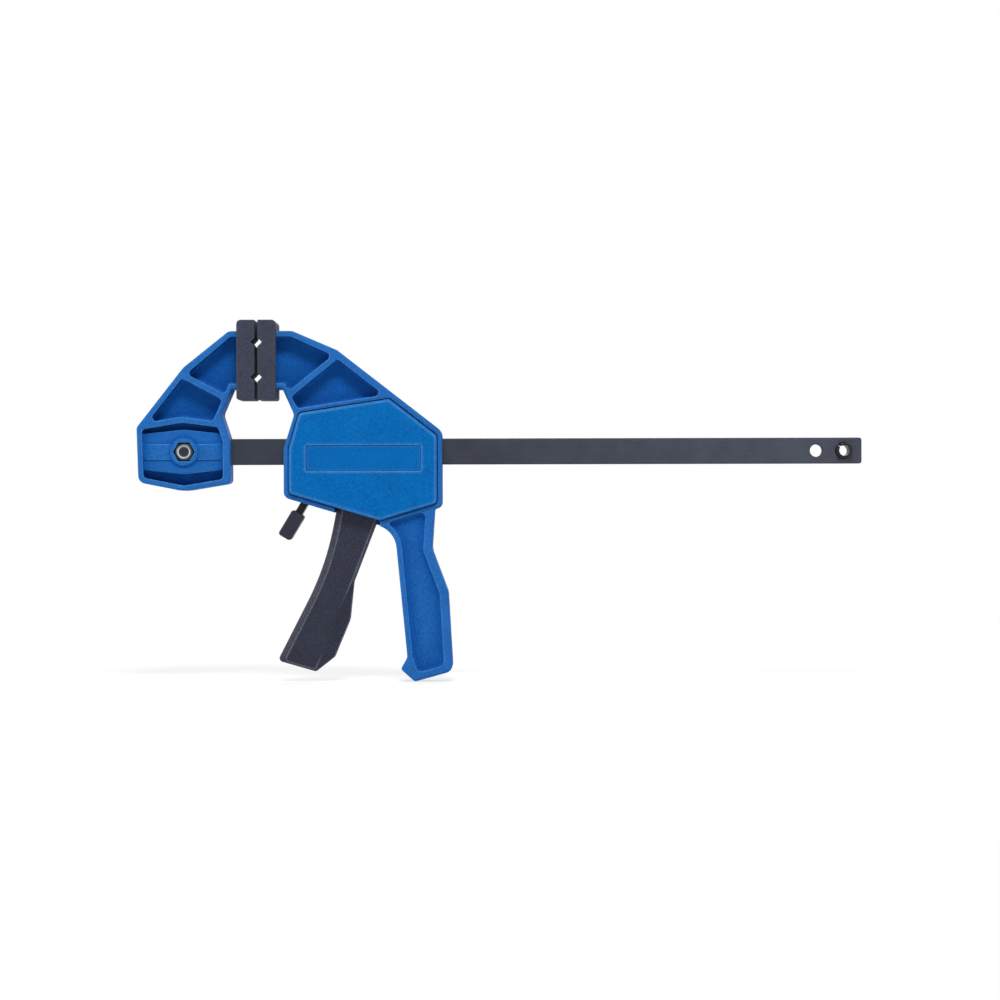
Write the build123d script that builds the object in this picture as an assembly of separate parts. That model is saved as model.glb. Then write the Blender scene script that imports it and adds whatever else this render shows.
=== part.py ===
from build123d import *
import math
import os

# One-handed bar clamp. X runs along the bar, Y across it with the front at -Y, Z is up.
# The origin is the middle of the fixed jaw's gripping face. Lengths are in millimetres.

# Bar
bar_height = 20.0
bar_thickness = 6.0
bar_edge_round = 0.8
bar_corner_round = 2.0
bar_hole_diameter = 9.5
bar_tail = 13.9
spare_hole_inset = 35.0
end_wall = 6.0
throat_depth = 60.0

# Opening between the gripping faces
rest_gap = 2.1
travel = 301.0
stop_clearance = 0.6

# Soft jaw pads
pad_height = 61.0
pad_depth = 35.0
pad_length = 14.0
pad_nose = 6.5
pad_end_wall = 8.3
pad_fit = 0.1
pad_crown_round = 3.5
pad_foot_round = 2.0
pad_edge_round = 0.8
groove_depth = 3.3
groove_half_width = 3.4
groove_pitch = 26.8

# Mouldings
jaw_depth = 27.0
web_thickness = 8.0
edge_round = 1.8
rim = 4.2
inner_rim = 3.6
rib = 4.4
pocket_round = 3.0
pocket_lip_round = 1.0
floor_round = 2.4
overrun = 2.0

# Fixed jaw
fixed_reach = 90.8
jaw_foot = 30.1
block_recess = 2.6
block_half_height = 17.0
block_end_half_height = 13.3
band_height = 12.0
band_step = 0.7
boss_diameter = 22.0
boss_step = 1.6
boss_edge_round = 1.0
guide_rim = 5.4
bar_fit = 0.15

# Bolt, washer and lock nut of the fixed jaw
bolt_diameter = 8.0
bolt_head_diameter = 13.0
bolt_head_height = 7.0
bolt_socket_flats = 6.0
bolt_socket_depth = 4.0
bolt_tip = 1.0
bolt_sink = 0.8
bolt_clearance = 0.2
nut_flats = 13.0
nut_height = 8.0
nut_collar_height = 2.4
nut_collar_diameter = 11.4
nut_insert_wall = 1.1
nut_seat_wall = 2.2
nut_pocket_gap = 0.7
washer_diameter = 16.0
washer_thickness = 1.6

# Stop pin in the bar's free end
stop_pin_diameter = 12.0
stop_pin_wall = 1.9
stop_pin_length = 20.0
stop_pin_slit = 1.6
stop_pin_fit = 0.03

# Carriage
carriage_reach = 140.4
carriage_set_back = 19.4
body_foot = 57.0
handle_drop = 175.8
handle_rear_rim = 6.6
handle_floor_rim = 6.0
handle_pocket_depth = 3.4
handle_floor_round = 2.4
handle_pocket_rise = 1.2
handle_pocket_round = 4.2
guide_gap = 0.3

# Side cover and the chamber behind it
cover_rim = 4.0
cover_brow_rim = 5.0
cover_top_rim = 1.8
cover_groove = 0.8
cover_groove_depth = 1.8
cover_ledge = 2.5
cover_round = 3.5
cover_edge_round = 1.5
panel_wall = 2.6
chamber_gap = 0.9
label_length = 88.0
label_height = 20.0
label_depth = 0.5
label_round = 1.2

# Screws that hold the cover, driven from the back
screw_diameter = 4.0
screw_head_diameter = 7.4
screw_head_height = 2.6
screw_head_sink = 0.3
screw_boss_diameter = 7.0
screw_seat_wall = 1.2
screw_clearance = 0.2
screw_grip = 9.0
screw_slot_width = 1.1
screw_slot_depth = 1.4

# Trigger
pivot_rise = 12.0
pivot_diameter = 6.0
pivot_clearance = 0.05
pivot_end_wall = 1.2
hub_radius = 9.0
nose_radius = 9.0
nose_drop = 26.0
trigger_width = 17.0
trigger_side_gap = 0.4
trigger_drop = 191.7
trigger_kick = 61.6
trigger_bevel = 5.0
trigger_bevel_depth = 4.0
trigger_rear_bevel = 1.6
trigger_foot_bevel = 1.6
trigger_sweep_round = 220.0
trigger_slot_gap = 0.7
trigger_travel = 13.0
fork_gap = 0.5
fork_floor_gap = 4.5

# Drive plates and their spring
plate_thickness = 4.0
plate_width = 24.0
plate_rise = 6.0
plate_round = 2.0
plate_gap = 0.1
window_gap = 0.35
drive_wire = 1.8
drive_spring_gap = 0.5
drive_spring_pitch = 8.0
spring_seat_gap = 0.1
drive_seat_wall = 4.0

# Brake lever, its spring and its grip
brake_thickness = 5.5
brake_width = 18.0
brake_tail_width = 13.0
brake_tilt = 6.0
brake_tail_angle = 31.0
brake_pivot_rise = 10.0
brake_bend_drop = 17.0
brake_tail_length = 43.0
brake_window_gap = 0.47
brake_slot_gap = 1.0
brake_socket_gap = 0.5
brake_socket_wall = 2.6
brake_socket_depth = 4.5
grip_length = 22.0
grip_thickness = 10.6
grip_width = 17.0
grip_end_wall = 2.0
grip_round = 2.2
grip_fit = 0.05
brake_wire = 1.2
brake_spring_diameter = 9.0
brake_spring_pitch = 2.6
brake_spring_drop = 2.6
brake_spring_length = 8.6
seat_rib_thickness = 3.0
spigot_clearance = 0.5
spigot_length = 2.6

# Outline corners of the fixed jaw, as shares of its reach and of its rise above the bar axis or foot below
hip_shares = (1.0, 0.203)
shoulder_shares = (0.606, 0.698)
crown_share = 0.2225
chin_share = 0.194
waist_shares = (0.2855, 0.309)
guide_top_shares = (0.2125, 0.089)
bolt_share = 0.6013
toe_shares = (0.2125, -0.804)
foot_shares = (0.601, -1.0)
heel_shares = (0.985, -0.771)
fixed_rib_shares = ((0.643, 0.651), (0.23, 0.435))
chevron_apex_shares = (0.6174, 0.266)
chevron_end_shares = (0.2566, 0.222)
chevron_inner_shares = (0.324, 0.2245)
fixed_round_shares = (0.05, 0.08, 0.08, 0.025, 0.025, 0.01, 0.06, 0.03, 0.04, 0.3, 0.07)

# Outline corners of the carriage, as shares of its reach and of the same rise or the body's foot
arm_crown_share = 0.1859
arm_chin_share = 0.133
arm_waist_shares = (0.1959, 0.306)
brow_shares = (0.4309, 0.84)
rear_top_shares = (1.0, 0.166)
rear_bottom_shares = (1.0, -0.747)
keel_shares = (0.6619, -1.0)
front_bottom_share = -0.614
front_top_share = 0.028
arm_rib_shares = ((0.1525, 0.451), (0.4487, 0.817))
cover_top_shares = ((0.1959, 0.332), (0.7479, 0.462))
label_shares = (0.573, -0.09)

# Grip corners, as shares of the carriage's reach and of the grip's drop below the bar axis
neck_shares = (0.9594, 0.252)
grip_waist_shares = (0.9447, 0.425)
grip_swell_shares = (1.0326, 0.6115)
grip_heel_shares = (1.0573, 0.9545)
grip_foot_shares = (0.8487, 1.0)
grip_toe_shares = (0.7721, 0.946)
grip_instep_shares = (0.8082, 0.8936)
grip_root_shares = (0.7415, 0.3436)
root_round_share = 0.137
carriage_round_shares = (
    0.018, 0.058, 0.086, 0.058, 0.036, 0.012, 0.108, 0.108, 0.05,
    0.022, 0.018, 0.036, root_round_share, 0.04, 0.058, 0.043, 0.014, 0.018,
)

# Trigger corners from its pivot, as shares of its kick forward and of its drop
trigger_front_neck_shares = (0.227, 0.167)
trigger_exit_shares = (0.2695, 0.3573)
trigger_bend_shares = (0.3945, 0.5681)
trigger_toe_shares = (1.0, 0.9489)
trigger_heel_shares = (0.521, 0.993)
trigger_rear_heel_shares = (0.29, 0.9355)
trigger_facet_shares = ((0.254, 0.7616), (0.422, 0.9056))
trigger_palm_shares = (0.0958, 0.7856)
trigger_knuckle_shares = (0.0487, 0.6354)
trigger_rear_shares = (-0.2516, 0.386)
trigger_rear_top_shares = (-0.211, 0.3026)
trigger_rear_neck_shares = (-0.0487, 0.2295)
trigger_round_shares = (0.05, 0.045, 0.25, 0.13)

# Places of the levers and the screws, as shares of the body's length and of the same rise or foot
brake_share = 0.2124
pivot_share = 0.4636
screw_shares = ((0.135, 0.2225), (0.7614, 0.225), (0.8773, -0.544), (0.11, -0.368))

# Worked-out levels and places
bar_z = -(throat_depth + bar_height / 2)
tip_half = pad_height / 2 - pad_end_wall
jaw_half = jaw_depth / 2
web_half = web_thickness / 2
jaw_rise = tip_half - bar_z
front_x = rest_gap + carriage_set_back
rear_x = rest_gap + carriage_reach
body_length = rear_x - front_x
stop_x = rear_x + travel + stop_clearance + stop_pin_diameter / 2
bar_right = stop_x + bar_tail
bar_left = end_wall - fixed_reach
bolt_set_back = bolt_share * fixed_reach
block_front = jaw_half - block_recess
nut_seat = bar_thickness / 2 + bar_fit + nut_seat_wall
drive_spring_radius = math.hypot(bar_height, bar_thickness) / 2 + drive_spring_gap + drive_wire / 2
chamber_half = drive_spring_radius + drive_wire / 2 + chamber_gap
panel_half = chamber_half + panel_wall
cover_seat = jaw_half - cover_groove_depth
screw_floor = screw_head_height + screw_head_sink - panel_half
pivot_x = front_x + pivot_share * body_length
pivot_z = bar_z + bar_height / 2 + pivot_rise
plate_x = pivot_x + nose_radius + plate_gap
brake_x = front_x + brake_share * body_length
brake_pivot_z = bar_z + bar_height / 2 + brake_pivot_rise
brake_pivot_x = brake_x + (brake_pivot_z - bar_z) * math.tan(math.radians(brake_tilt))
drive_seat_x = rear_x - cover_rim - cover_ledge - drive_seat_wall
trigger_half = trigger_width / 2
slot_half = trigger_half + trigger_side_gap


def fixed_point(shares):
    """A corner of the fixed jaw from its shares."""
    x_share, z_share = shares
    z_reach = jaw_rise if z_share > 0 else jaw_foot
    return (-x_share * fixed_reach, bar_z + z_share * z_reach)


def carriage_point(shares):
    """A corner of the carriage's jaw or body from its shares."""
    x_share, z_share = shares
    z_reach = jaw_rise if z_share > 0 else body_foot
    return (rest_gap + x_share * carriage_reach, bar_z + z_share * z_reach)


def body_point(shares):
    """A place in the carriage's body from its shares."""
    x_share, z_share = shares
    return (front_x + x_share * body_length, carriage_point(shares)[1])


def grip_point(shares):
    """A corner of the pistol grip from its shares."""
    x_share, z_share = shares
    return (rest_gap + x_share * carriage_reach, bar_z - z_share * handle_drop)


def trigger_point(shares):
    """A corner of the trigger from its shares."""
    x_share, z_share = shares
    return (pivot_x - x_share * trigger_kick, pivot_z - z_share * trigger_drop)


def squeezed(point):
    """Where a point of the trigger goes at the end of its travel."""
    angle = math.radians(trigger_travel)
    x, z = point[0] - pivot_x, point[1] - pivot_z
    return (
        pivot_x + x * math.cos(angle) - z * math.sin(angle),
        pivot_z + x * math.sin(angle) + z * math.cos(angle),
    )


def inset(points, walls):
    """Corners of a clockwise outline after each side moves inwards by its own wall."""
    sides = []
    for i, (x, z) in enumerate(points):
        next_x, next_z = points[(i + 1) % len(points)]
        length = math.hypot(next_x - x, next_z - z)
        along = ((next_x - x) / length, (next_z - z) / length)
        sides.append((x + along[1] * walls[i], z - along[0] * walls[i], along))
    corners = []
    for i, (x, z, along) in enumerate(sides):
        last_x, last_z, last_along = sides[i - 1]
        turn = last_along[0] * along[1] - last_along[1] * along[0]
        step = ((x - last_x) * along[1] - (z - last_z) * along[0]) / turn
        corners.append((last_x + step * last_along[0], last_z + step * last_along[1]))
    return corners


def profile(points, rounds):
    """A face in the XZ plane with rounded corners."""
    return make_face(Plane.XZ * FilletPolyline(*points, radius=rounds, close=True))


def disc(x, z, radius):
    """A round face in the XZ plane."""
    return Plane.XZ * Pos(x, z) * Circle(radius)


def slab(face, back, front):
    """A face of the XZ plane made solid between two depths, both measured towards the front."""
    return extrude(Pos(0, -back, 0) * face, amount=front - back, dir=(0, -1, 0))


def block(x_low, x_high, back, front, z_low, z_high):
    """A box between six limits, with its depths measured towards the front."""
    corner = Pos(x_low, -front, z_low)
    return corner * Box(x_high - x_low, front - back, z_high - z_low, align=(Align.MIN,) * 3)


def rod(x, z, radius, back, front):
    """A cylinder across the clamp."""
    return slab(disc(x, z, radius), back, front)


def front_edges(solid):
    return solid.edges().group_by(Axis.Y)[0]


def back_edges(solid):
    return solid.edges().group_by(Axis.Y)[-1]


def pockets(face, floor, bottom_round):
    """The cut for a pair of round-floored pockets, one in each side of a moulding."""
    cut = slab(face, floor, jaw_half + overrun)
    cut = fillet(back_edges(cut), bottom_round)
    return cut + mirror(cut, about=Plane.XZ)


def web_pockets(points, walls, corner_round=pocket_round):
    """The cut for a pair of pockets down to a moulding's web, with a rim or rib along each side."""
    return pockets(profile(inset(points, walls), corner_round), web_half, floor_round)


def coil(start_x, end_x, centre_z, radius, wire, pitch):
    """A helical spring along X, on quarter-turn biarcs. Prints the least gap between its turns."""
    length = end_x - start_x - wire
    turns = max(2, round(length / pitch))
    step = length / turns
    lean = step / (2 * math.pi)

    def place(angle):
        return Vector(
            start_x + wire / 2 + lean * angle,
            radius * math.sin(angle),
            centre_z + radius * math.cos(angle),
        )

    def heading(angle):
        return Vector(lean, radius * math.cos(angle), -radius * math.sin(angle)).normalized()

    edges = []
    quarter = math.pi / 2
    for i in range(4 * turns):
        begin, end = place(i * quarter), place((i + 1) * quarter)
        out, into = heading(i * quarter), heading((i + 1) * quarter)
        span, both = end - begin, out + into
        a, b, c = both.dot(both) - 4, -2 * span.dot(both), span.dot(span)
        reach = (-b - math.sqrt(b * b - 4 * a * c)) / (2 * a)
        middle = (begin + out * reach + end - into * reach) * 0.5
        edges.append(Edge.make_tangent_arc(begin, out, middle))
        edges.append(Edge.make_tangent_arc(middle, (end - middle - into * reach).normalized(), end))
    path = Wire(edges)
    points = [path.position_at(i / (24 * turns)) for i in range(24 * turns + 1)]
    gap = min((p - q).length for i, p in enumerate(points) for q in points[i + 12:]) - wire
    print("coil", turns, "turns, least gap to itself", round(gap, 2))
    section = Plane(origin=path.position_at(0), z_dir=path.tangent_at(0)) * Circle(wire / 2)
    return sweep(section, path=path)


# Outlines used by more than one piece
hip, shoulder = fixed_point(hip_shares), fixed_point(shoulder_shares)
crown = (-crown_share * fixed_reach, tip_half)
chin = (-chin_share * fixed_reach, -tip_half)
waist, guide_top = fixed_point(waist_shares), fixed_point(guide_top_shares)
toe, foot, heel = fixed_point(toe_shares), fixed_point(foot_shares), fixed_point(heel_shares)

arm_crown = (rest_gap + arm_crown_share * carriage_reach, tip_half)
arm_chin = (rest_gap + arm_chin_share * carriage_reach, -tip_half)
brow, rear_top = carriage_point(brow_shares), carriage_point(rear_top_shares)
rear_bottom, keel = carriage_point(rear_bottom_shares), carriage_point(keel_shares)
front_bottom = (front_x, bar_z + front_bottom_share * body_foot)
front_top = (front_x, bar_z + front_top_share * jaw_rise)
arm_waist = carriage_point(arm_waist_shares)
cover_top_left, cover_top_right = (carriage_point(shares) for shares in cover_top_shares)
cover_corners = inset(
    [cover_top_left, cover_top_right, rear_top, rear_bottom, keel, front_bottom, front_top],
    [cover_top_rim, cover_brow_rim, cover_rim, cover_rim, cover_rim, cover_rim, cover_rim],
)
chamber_corners = inset(cover_corners, [cover_ledge] * len(cover_corners))
screw_places = [body_point(shares) for shares in screw_shares]
root, grip_instep = grip_point(grip_root_shares), grip_point(grip_instep_shares)
neck, grip_waist = grip_point(neck_shares), grip_point(grip_waist_shares)
grip_swell, grip_heel = grip_point(grip_swell_shares), grip_point(grip_heel_shares)
grip_foot, grip_toe = grip_point(grip_foot_shares), grip_point(grip_toe_shares)


def bar():
    half, tall = bar_thickness / 2, bar_height / 2
    solid = block(bar_left, bar_right, -half, half, bar_z - tall, bar_z + tall)
    solid = fillet(solid.edges().filter_by(Axis.Y), bar_corner_round)
    solid = fillet(front_edges(solid) + back_edges(solid), bar_edge_round)
    hole_radius = bar_hole_diameter / 2
    deep = half + overrun
    for x in (-bolt_set_back, bar_right - spare_hole_inset):
        solid -= rod(x, bar_z, hole_radius, -deep, deep)
    return solid - rod(stop_x, bar_z, stop_pin_diameter / 2 + stop_pin_fit, -deep, deep)


def fixed_jaw():
    tip_top, tip_bottom = (-pad_nose, tip_half), (-pad_nose, -tip_half)
    outline = [hip, shoulder, crown, tip_top, tip_bottom, chin, waist, guide_top, toe, foot, heel]
    rounds = [share * fixed_reach for share in fixed_round_shares]
    solid = slab(profile(outline, rounds), -jaw_half, jaw_half)
    solid = fillet(front_edges(solid) + back_edges(solid), edge_round)
    rib_left, rib_right = (fixed_point(shares) for shares in fixed_rib_shares)
    apex, chevron_end = fixed_point(chevron_apex_shares), fixed_point(chevron_end_shares)
    mouth = pad_nose - pad_length
    solid -= web_pockets(
        [rib_left, crown, (mouth, tip_half), (mouth, -tip_half), chin, rib_right],
        [rim, rim, 0, rim, inner_rim, rib / 2],
        [pocket_round, pocket_round, 0, 0, pocket_lip_round, pocket_round],
    )
    solid -= web_pockets(
        [rib_left, rib_right, fixed_point(chevron_inner_shares), apex, hip],
        [rib / 2, inner_rim, rib / 2, rib / 2, rim],
    )
    solid = bar_block(solid, [hip, apex, chevron_end, guide_top, toe, foot, heel])
    deep = bar_thickness / 2 + bar_fit
    tall = bar_height / 2 + bar_fit
    solid -= block(bar_left - bar_fit, overrun, -deep, deep, bar_z - tall, bar_z + tall)
    return solid - bolt_hole()


def bar_block(solid, outline):
    """The recessed block round the bar's end, with a band and a round boss on each side."""
    walls = [rib / 2, rib / 2, guide_rim, guide_rim, rim, rim, rim]
    field = profile(inset(outline, walls), pocket_round)
    left, right = -fixed_reach, -guide_top_shares[0] * fixed_reach
    ends, middle = block_end_half_height, block_half_height
    hexagon = [
        (left, bar_z + ends), (-bolt_set_back, bar_z + middle), (right, bar_z + ends),
        (right, bar_z - ends), (-bolt_set_back, bar_z - middle), (left, bar_z - ends),
    ]
    carrier = profile(hexagon, 0)
    recess = slab(field, block_front, jaw_half + overrun)
    gaps = slab(field - carrier, web_half, jaw_half)
    band_top, band_bottom = bar_z + band_height / 2, bar_z - band_height / 2
    strip = block(left, right, block_front, block_front + band_step, band_bottom, band_top)
    boss = rod(-bolt_set_back, bar_z, boss_diameter / 2, block_front, block_front + boss_step)
    boss = fillet(front_edges(boss), boss_edge_round)
    raised = (strip & recess) + boss
    for side in (lambda shape: shape, lambda shape: mirror(shape, about=Plane.XZ)):
        solid = solid - side(recess) - side(gaps) + side(raised)
    return solid


def hexagon_face(x, z, flats):
    """A hexagon with two corners level with its centre."""
    return Plane.XZ * Pos(x, z) * RegularPolygon(flats / 2, side_count=6, major_radius=False)


def bolt_hole():
    """The stepped hole for the fixed jaw's bolt: a six-sided nut pocket in front, a round one behind."""
    reach = jaw_half + overrun
    hole = rod(-bolt_set_back, bar_z, bolt_diameter / 2 + bolt_clearance, -reach, reach)
    hole += slab(hexagon_face(-bolt_set_back, bar_z, nut_flats + 2 * nut_pocket_gap), nut_seat, reach)
    return hole + rod(-bolt_set_back, bar_z, washer_diameter / 2 + bolt_clearance, -reach, -nut_seat)


def jaw_bolt():
    """A socket-head bolt, driven from the back."""
    head_seat = nut_seat + washer_thickness
    solid = rod(-bolt_set_back, bar_z, bolt_diameter / 2, -head_seat, nut_seat + nut_height - bolt_sink)
    solid = chamfer(front_edges(solid), bolt_tip / 2)
    head = rod(-bolt_set_back, bar_z, bolt_head_diameter / 2, -head_seat - bolt_head_height, -head_seat)
    head = chamfer(back_edges(head), bolt_tip / 2)
    socket = hexagon_face(-bolt_set_back, bar_z, bolt_socket_flats)
    bottom = -head_seat - bolt_head_height + bolt_socket_depth
    return solid + head - slab(socket, bottom - bolt_socket_depth - overrun, bottom)


def bolt_washer():
    ring = rod(-bolt_set_back, bar_z, washer_diameter / 2, -nut_seat - washer_thickness, -nut_seat)
    return ring - rod(-bolt_set_back, bar_z, bolt_diameter / 2 + bolt_clearance, -jaw_half, jaw_half)


def jaw_nut():
    """A six-sided nut with a round collar that holds its locking ring."""
    collar_back = nut_seat + nut_height - nut_collar_height
    solid = slab(hexagon_face(-bolt_set_back, bar_z, nut_flats), nut_seat, collar_back)
    cone = rod(-bolt_set_back, bar_z, nut_flats / math.sqrt(3), nut_seat, collar_back)
    solid = solid & chamfer(front_edges(cone), (nut_flats / math.sqrt(3) - nut_flats / 2))
    collar = rod(-bolt_set_back, bar_z, nut_collar_diameter / 2, collar_back, nut_seat + nut_height)
    solid += fillet(front_edges(collar), nut_insert_wall / 2)
    reach = nut_seat + nut_height + overrun
    solid -= rod(-bolt_set_back, bar_z, bolt_diameter / 2 + stop_pin_fit, nut_seat - overrun, reach)
    return solid - rod(-bolt_set_back, bar_z, bolt_diameter / 2 + nut_insert_wall, collar_back, reach)


def nut_insert():
    back = nut_seat + nut_height - nut_collar_height
    front = nut_seat + nut_height - nut_insert_wall / 2
    ring = rod(-bolt_set_back, bar_z, bolt_diameter / 2 + nut_insert_wall - stop_pin_fit, back, front)
    hole_radius = bolt_diameter / 2 + stop_pin_fit
    return ring - rod(-bolt_set_back, bar_z, hole_radius, back - overrun, front + overrun)


def stop_pin():
    """A rolled spring pin with a slit along it."""
    half = stop_pin_length / 2
    outer = chamfer(rod(stop_x, bar_z, stop_pin_diameter / 2, -half, half).edges(), stop_pin_wall / 3)
    tube = outer - rod(stop_x, bar_z, stop_pin_diameter / 2 - stop_pin_wall, -half - overrun, half + overrun)
    slit_length = stop_pin_length + 2 * overrun
    aligned = (Align.MAX, Align.CENTER, Align.CENTER)
    slit = Box(stop_pin_diameter, slit_length, stop_pin_slit, align=aligned)
    return tube - Pos(stop_x, 0, bar_z) * Rot(0, 45, 0) * slit


def pad():
    """The fixed jaw's pad, open at the back of its nose."""
    half, deep = pad_height / 2, pad_depth / 2
    outline = [(-pad_length, -half), (-pad_length, half), (0, half), (0, -half)]
    rounds = [pad_foot_round, pad_crown_round, pad_edge_round, pad_edge_round]
    solid = slab(profile(outline, rounds), -deep, deep)
    solid = fillet(front_edges(solid) + back_edges(solid), pad_edge_round)
    socket_half, socket_deep = tip_half + pad_fit, jaw_half + pad_fit
    solid -= block(-pad_length - overrun, -pad_nose, -socket_deep, socket_deep, -socket_half, socket_half)
    for z in (-groove_pitch / 2, groove_pitch / 2):
        wide = groove_half_width
        groove = [(-groove_depth, z), (0, z + wide), (overrun, z), (0, z - wide)]
        solid -= slab(profile(groove, 0), -deep - overrun, deep + overrun)
    return solid


def carriage_outline():
    tip_top, tip_bottom = (rest_gap + pad_nose, tip_half), (rest_gap + pad_nose, -tip_half)
    outline = [
        tip_top, arm_crown, brow, rear_top, rear_bottom, neck, grip_waist, grip_swell, grip_heel,
        grip_foot, grip_toe, grip_instep, root, front_bottom, front_top, arm_waist, arm_chin, tip_bottom,
    ]
    return profile(outline, [share * carriage_reach for share in carriage_round_shares])


def carriage_housing():
    solid = slab(carriage_outline(), -jaw_half, jaw_half)
    solid = fillet(front_edges(solid) + back_edges(solid), edge_round)
    panel = slab(profile(cover_corners, cover_round), -panel_half, -web_half)
    panel = fillet(back_edges(panel), cover_edge_round)
    groove_corners = inset(cover_corners, [-cover_groove] * len(cover_corners))
    groove = slab(profile(groove_corners, cover_round), 0, jaw_half)
    solid = solid - Pos(0, cover_seat + jaw_half, 0) * groove + panel
    solid -= Pos(0, -cover_seat, 0) * groove
    solid -= slab(profile(chamber_corners, cover_round), -chamber_half, jaw_half)
    solid = solid - arm_pockets() - grip_pockets() + chamber_fittings()
    guide = bar_thickness / 2 + guide_gap
    tall = bar_height / 2 + guide_gap
    solid -= block(front_x - overrun, rear_x + overrun, -guide, guide, bar_z - tall, bar_z + tall)
    solid = solid - brake_slot() - trigger_slot()
    for x, z in screw_places:
        solid -= rod(x, z, screw_diameter / 2 + screw_clearance, -panel_half - overrun, overrun)
        solid -= rod(x, z, screw_head_diameter / 2 + screw_clearance, -panel_half - overrun, screw_floor)
    return solid - rod(pivot_x, pivot_z, pivot_diameter / 2 + stop_pin_fit, pivot_end_wall - panel_half, 0)


def arm_pockets():
    """Pockets of the moving jaw: one beside the pad, one below its rib."""
    rib_left, rib_right = (carriage_point(shares) for shares in arm_rib_shares)
    mouth = rest_gap + pad_length - pad_nose
    upper = web_pockets(
        [(mouth, tip_half), arm_crown, rib_right, rib_left, arm_chin, (mouth, -tip_half)],
        [rim, rim, rib / 2, inner_rim, rim, 0],
        [0, pocket_round, pocket_round, pocket_round, pocket_lip_round, 0],
    )
    lower = web_pockets(
        [rib_left, rib_right, cover_top_right, cover_top_left],
        [rib / 2, cover_brow_rim, cover_top_rim, inner_rim],
    )
    return upper + lower


def grip_pockets():
    """Pockets of the pistol grip, along its front edge and its curved root up to the body's lower edge."""
    rear, corner = handle_rear_rim, handle_pocket_round
    whole = profile(
        inset(
            [front_bottom, neck, grip_waist, grip_swell, grip_heel, grip_foot, grip_instep, root],
            [-overrun, rear, rear, rear, handle_floor_rim, rim, rim, rim],
        ),
        [0, 0, corner, corner, corner, corner, corner, root_round_share * carriage_reach + rim],
    )
    under_body = [keel, neck, grip_heel, grip_foot, (keel[0], grip_foot[1])]
    face = whole & profile(inset(under_body, [-handle_pocket_rise, 0, 0, 0, 0]), 0)
    face = fillet(face.vertices().sort_by(Axis.Z)[-1], corner)
    face = fillet(face.vertices().sort_by(Axis.X)[0], handle_floor_round)
    return pockets(face, jaw_half - handle_pocket_depth, handle_floor_round)


def chamber_fittings():
    """Screw bosses, the trigger's pivot boss, the brake's socket ribs and the seat of the brake's spring."""
    parts = [rod(x, z, screw_boss_diameter / 2, -chamber_half, 0) for x, z in screw_places]
    seat_radius = screw_head_diameter / 2 + screw_clearance + screw_seat_wall
    parts += [rod(x, z, seat_radius, -chamber_half, screw_floor + screw_seat_wall) for x, z in screw_places]
    parts.append(rod(pivot_x, pivot_z, hub_radius - trigger_side_gap, -chamber_half, -slot_half))
    half = brake_thickness / 2 + brake_socket_gap
    top = cover_top_left[1] + (cover_top_right[1] - cover_top_left[1]) / 2
    low = brake_pivot_z - brake_socket_depth + brake_thickness / 2
    chamber = slab(profile(chamber_corners, cover_round), -chamber_half, cover_seat)
    for x_low, x_high in (
        (brake_pivot_x - half - brake_socket_wall, brake_pivot_x - half),
        (brake_pivot_x + half, brake_pivot_x + half + brake_socket_wall),
    ):
        parts.append(block(x_low, x_high, -chamber_half, brake_width / 2, low, top) & chamber)
    seat_left, seat_right = brake_seat_x(), brake_seat_x() + seat_rib_thickness
    rib_top = brake_spring_z() + brake_spring_diameter / 2
    parts.append(block(seat_left, seat_right, -chamber_half, brake_width / 2, keel[1], rib_top) & chamber)
    seat_half = drive_spring_radius + drive_wire / 2
    seat = block(drive_seat_x, rear_x, -chamber_half, jaw_half, bar_z - seat_half, bar_z + seat_half)
    parts.append(seat & chamber)
    spigot = brake_spring_diameter / 2 - brake_wire - spigot_clearance
    parts.append(Pos(seat_left, 0, brake_spring_z()) * Rot(0, -90, 0) * Cylinder(
        spigot, spigot_length, align=(Align.CENTER, Align.CENTER, Align.MIN)
    ))
    return Part() + parts


def brake_face_x(z):
    """Where the brake lever's rear face is at a height below the bar."""
    tilt = math.radians(brake_tilt)
    return brake_x + (z - bar_z) * math.tan(tilt) + brake_thickness / 2 / math.cos(tilt)


def brake_spring_z():
    return bar_z - bar_height / 2 - brake_spring_drop - brake_spring_diameter / 2


def brake_spring_start():
    return brake_face_x(brake_spring_z() + brake_spring_diameter / 2) + spring_seat_gap


def brake_seat_x():
    return brake_spring_start() + brake_spring_length + spring_seat_gap


def brake_path():
    """Middle line of the brake lever: its pivot, its bend and the end of its tail."""
    bend_z = bar_z - bar_height / 2 - brake_bend_drop
    bend = (brake_x + (bend_z - bar_z) * math.tan(math.radians(brake_tilt)), bend_z)
    lean = math.radians(brake_tail_angle)
    tail = (bend[0] - brake_tail_length * math.sin(lean), bend[1] - brake_tail_length * math.cos(lean))
    return [(brake_pivot_x, brake_pivot_z), bend, tail]


def released(point):
    """Where a point of the brake lever goes when the lever is pressed."""
    angle = math.radians(brake_tilt)
    x, z = point[0] - brake_pivot_x, point[1] - brake_pivot_z
    return (
        brake_pivot_x + x * math.cos(angle) - z * math.sin(angle),
        brake_pivot_z + x * math.sin(angle) + z * math.cos(angle),
    )


def brake_slot():
    """The opening under the body that the brake lever swings in."""
    pivot, bend, tail = brake_path()
    half = brake_tail_width / 2 + brake_slot_gap
    reach = brake_thickness / 2 + brake_slot_gap
    corners = [
        (bend[0] - reach, bend[1] + reach), (released(bend)[0] + reach, bend[1] + reach),
        (released(tail)[0] + 2 * reach, tail[1]), (tail[0] - 2 * reach, tail[1]),
    ]
    return slab(profile(corners, 0), -half, half)


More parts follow.
